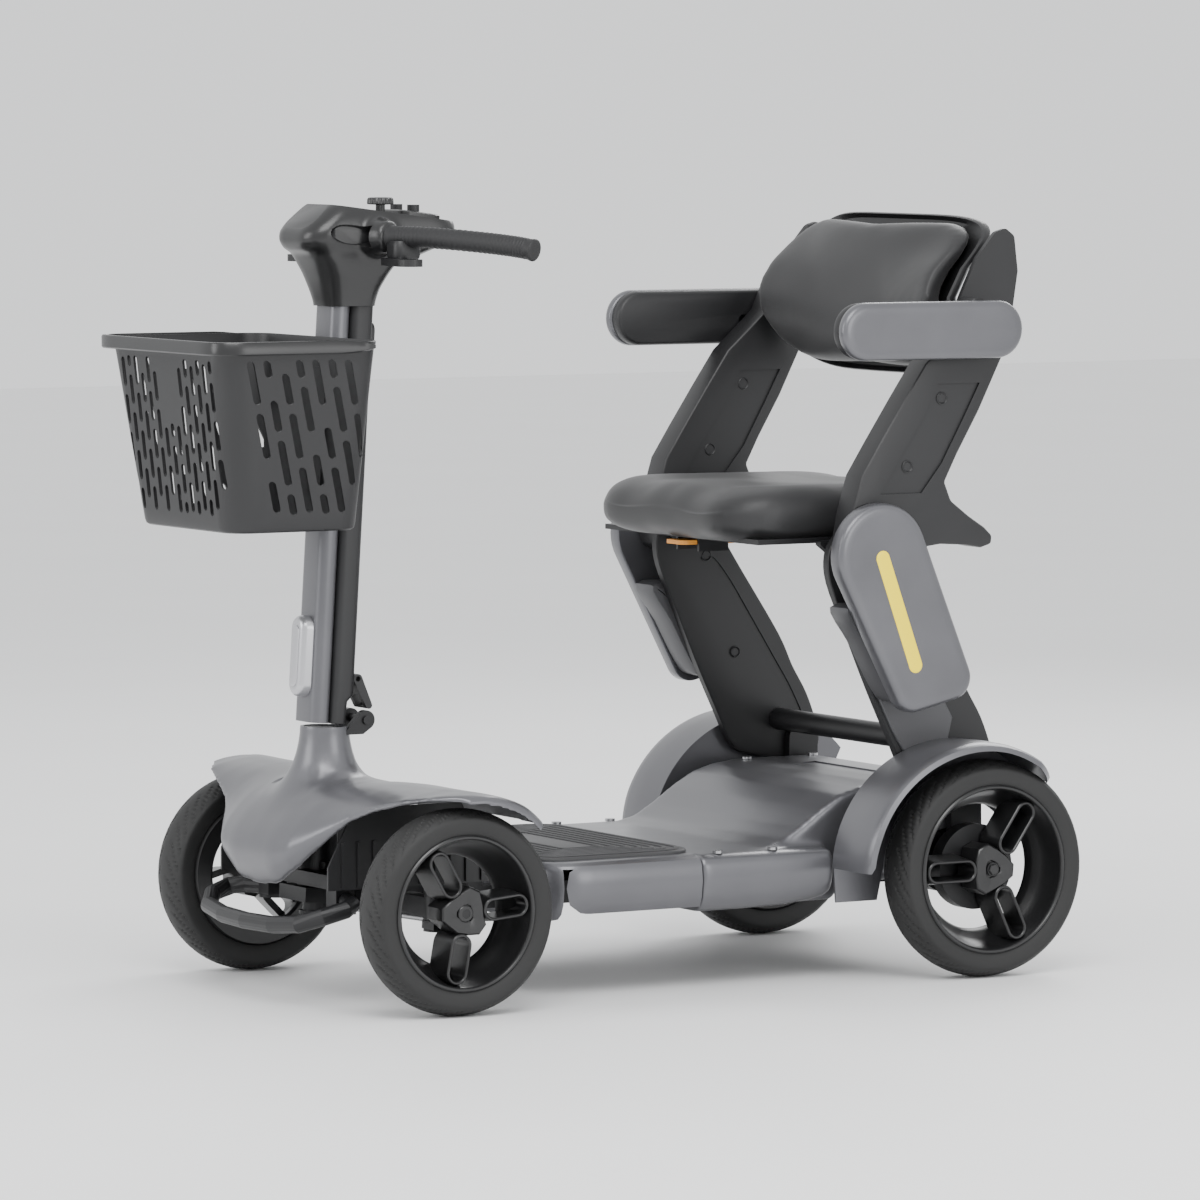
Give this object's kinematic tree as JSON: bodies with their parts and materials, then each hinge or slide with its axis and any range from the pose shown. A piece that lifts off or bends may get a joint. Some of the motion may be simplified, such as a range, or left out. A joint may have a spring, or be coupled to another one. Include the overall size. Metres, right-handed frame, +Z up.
{
  "type": "folding mobility scooter",
  "caption": "Folding four-wheel mobility scooter with a front basket, a steering mast, a low footwell, and a padded seat on folding legs with a curved backrest and armrests.",
  "frame": {"origin": "on the ground, under the middle of the whole scooter's bounding box", "axes": "+X forwards, +Y to the rider's left, +Z up"},
  "size_m": [1.0825, 0.57, 0.91],
  "materials": {
    "grey_cover": "satin metallic grey, fine orange peel",
    "mast_grey": "satin metallic grey",
    "black_plastic": "fine moulded texture",
    "black_steel": "satin black powder coat",
    "bare_metal": "satin",
    "mat_rubber": "ribbed",
    "grip_rubber": "soft textured",
    "tyre_rubber": "worn tread",
    "rim_black": "satin",
    "lamp_silver": "satin silver",
    "horn_red": "gloss",
    "power_green": "gloss",
    "light_yellow": "translucent",
    "cushion_black": "padded vinyl",
    "tab_orange": "satin"
  },
  "bodies": {
    "chassis": {"main_frame": "black_steel", "front_axle_beam": "black_steel", "steering_tower": "black_steel", "front_cowl": "grey_cover", "wheel_arch_liners": "black_plastic", "front_bumper": "black_steel", "deck_front": "grey_cover", "deck_rear": "grey_cover", "deck_mat": "mat_rubber", "rear_body_cover": "grey_cover", "rear_fender_left": "grey_cover", "rear_fender_right": "grey_cover", "battery_pack": "black_plastic", "motor_controller": "bare_metal", "gear_motors": "black_steel", "leg_brackets": "black_steel", "chassis_bolts": "bare_metal"},
    "charging_flap": {"charge_cap": "black_plastic"},
    "steering": {"steering_stem": "black_steel"},
    "tie": {"tie_rod": "bare_metal"},
    "steer_left": {"knuckle_left": "black_steel"},
    "steer_right": {"knuckle_right": "black_steel"},
    "mast": {"mast_tube": "mast_grey", "mast_rear_cover": "black_plastic", "headlight": "lamp_silver", "basket": "black_plastic", "basket_bracket": "black_plastic", "head_housing": "black_plastic", "handlebar_tube": "black_steel", "grips": "grip_rubber"},
    "bail": {"basket_bail": "black_plastic"},
    "lever_left": {"throttle_lever_left": "black_plastic"},
    "lever_right": {"throttle_lever_right": "black_plastic"},
    "knob": {"speed_knob": "black_plastic"},
    "horn": {"horn_button": "horn_red"},
    "power": {"power_button": "power_green"},
    "mast_paddle": {"fold_latch": "black_plastic"},
    "stem_button": {"stem_latch": "black_plastic"},
    "wheel_front_left": {"front_tyre_left": "tyre_rubber", "front_rim_left": "rim_black"},
    "wheel_front_right": {"front_tyre_right": "tyre_rubber", "front_rim_right": "rim_black"},
    "wheel_rear_left": {"rear_tyre_left": "tyre_rubber", "rear_rim_left": "rim_black"},
    "wheel_rear_right": {"rear_tyre_right": "tyre_rubber", "rear_rim_right": "rim_black"},
    "legs": {"leg_frame": "black_steel", "leg_cover_left": "grey_cover", "leg_cover_right": "grey_cover", "leg_lights": "light_yellow"},
    "seat": {"seat_pan": "black_steel", "seat_cushion": "cushion_black"},
    "seat_tab": {"release_tab": "tab_orange"},
    "back": {"back_arm_left": "black_steel", "back_arm_right": "black_steel", "backrest_shell": "black_plastic", "backrest_cushion": "cushion_black"},
    "arm_pad_left": {"armrest_left": "grey_cover"},
    "arm_pad_right": {"armrest_right": "grey_cover"}
  },
  "joints": [
    {"name": "steering", "type": "hinge", "parent": "chassis", "child": "steering", "pos_m": [0.32981, 0, 0.21912], "axis": [-0.061, 0, 0.9981], "range_deg": [-30, 30]},
    {"name": "knuckle_left", "type": "hinge", "parent": "chassis", "child": "steer_left", "pos_m": [0.29, 0.198, 0.1165], "axis": [-0.061, 0, 0.9981], "range_deg": [-30, 30]},
    {"name": "front_wheel_left", "type": "hinge", "parent": "steer_left", "child": "wheel_front_left", "pos_m": [0.29, 0.246, 0.1165], "axis": [0, 1, 0], "continuous": true},
    {"name": "rear_wheel_left", "type": "hinge", "parent": "chassis", "child": "wheel_rear_left", "pos_m": [-0.413, 0.246, 0.127], "axis": [0, 1, 0], "continuous": true},
    {"name": "throttle_left", "type": "hinge", "parent": "mast", "child": "lever_left", "pos_m": [0.276, 0.068, 0.838], "axis": [0, 0, 1], "range_deg": [0, 12], "stiffness_Nm_per_rad": 0.5},
    {"name": "armrest_left", "type": "hinge", "parent": "back", "child": "arm_pad_left", "pos_m": [-0.384, 0.25, 0.747], "axis": [0, -1, 0], "range_deg": [0, 85]},
    {"name": "knuckle_right", "type": "hinge", "parent": "chassis", "child": "steer_right", "pos_m": [0.29, -0.198, 0.1165], "axis": [-0.061, 0, 0.9981], "range_deg": [-30, 30]},
    {"name": "front_wheel_right", "type": "hinge", "parent": "steer_right", "child": "wheel_front_right", "pos_m": [0.29, -0.246, 0.1165], "axis": [0, 1, 0], "continuous": true},
    {"name": "rear_wheel_right", "type": "hinge", "parent": "chassis", "child": "wheel_rear_right", "pos_m": [-0.413, -0.246, 0.127], "axis": [0, 1, 0], "continuous": true},
    {"name": "throttle_right", "type": "hinge", "parent": "mast", "child": "lever_right", "pos_m": [0.276, -0.068, 0.838], "axis": [0, 0, -1], "range_deg": [0, 12], "stiffness_Nm_per_rad": 0.5},
    {"name": "armrest_right", "type": "hinge", "parent": "back", "child": "arm_pad_right", "pos_m": [-0.384, -0.25, 0.747], "axis": [0, -1, 0], "range_deg": [0, 85]},
    {"name": "tie_shift", "type": "hinge", "parent": "steering", "child": "tie", "pos_m": [0.29316, 0, 0.09766], "axis": [-0.061, 0, 0.9981], "range_deg": [-30, 30]},
    {"name": "mast_fold", "type": "hinge", "parent": "steering", "child": "mast", "pos_m": [0.282, 0, 0.314], "axis": [0, -1, 0], "range_deg": [0, 45]},
    {"name": "basket_handle", "type": "hinge", "parent": "mast", "child": "bail", "pos_m": [0.36138, 0, 0.73996], "axis": [0, -1, 0], "range_deg": [0, 90]},
    {"name": "speed_dial", "type": "hinge", "parent": "mast", "child": "knob", "pos_m": [0.264, 0.026, 0.902], "axis": [0, 0, 1], "range_deg": [-135, 135]},
    {"name": "horn_press", "type": "slide", "parent": "mast", "child": "horn", "axis": [0, 0, -1], "range_m": [0, 0.002], "stiffness_N_per_m": 400},
    {"name": "power_press", "type": "slide", "parent": "mast", "child": "power", "axis": [0, 0, -1], "range_m": [0, 0.002], "stiffness_N_per_m": 400},
    {"name": "mast_lock", "type": "hinge", "parent": "mast", "child": "mast_paddle", "pos_m": [0.28839, 0, 0.3608], "axis": [0, 1, 0], "range_deg": [0, 50]},
    {"name": "stem_release", "type": "slide", "parent": "mast", "child": "stem_button", "axis": [0.9981, 0, 0.061], "range_m": [0, 0.004], "stiffness_N_per_m": 400},
    {"name": "leg_fold", "type": "hinge", "parent": "chassis", "child": "legs", "pos_m": [-0.43, 0, 0.244], "axis": [0, 1, 0], "range_deg": [0, 30]},
    {"name": "seat_level", "type": "hinge", "parent": "legs", "child": "seat", "pos_m": [-0.266, 0, 0.497], "axis": [0, 1, 0], "range_deg": [-30, 0]},
    {"name": "seat_release", "type": "slide", "parent": "seat", "child": "seat_tab", "axis": [1, 0, 0], "range_m": [0, 0.012], "stiffness_N_per_m": 300},
    {"name": "back_fold", "type": "hinge", "parent": "seat", "child": "back", "pos_m": [-0.266, 0, 0.497], "axis": [0, -1, 0], "range_deg": [-105, 0]},
    {"name": "charge_flap", "type": "hinge", "parent": "chassis", "child": "charging_flap", "pos_m": [-0.467, 0, 0.187], "axis": [0, 1, 0], "range_deg": [0, 100]}
  ],
  "couplings": [
    {"joint": "knuckle_left", "follows": "steering", "ratio": 1},
    {"joint": "knuckle_right", "follows": "steering", "ratio": 1},
    {"joint": "tie_shift", "follows": "steering", "ratio": -1},
    {"joint": "seat_level", "follows": "leg_fold", "ratio": -1}
  ]
}
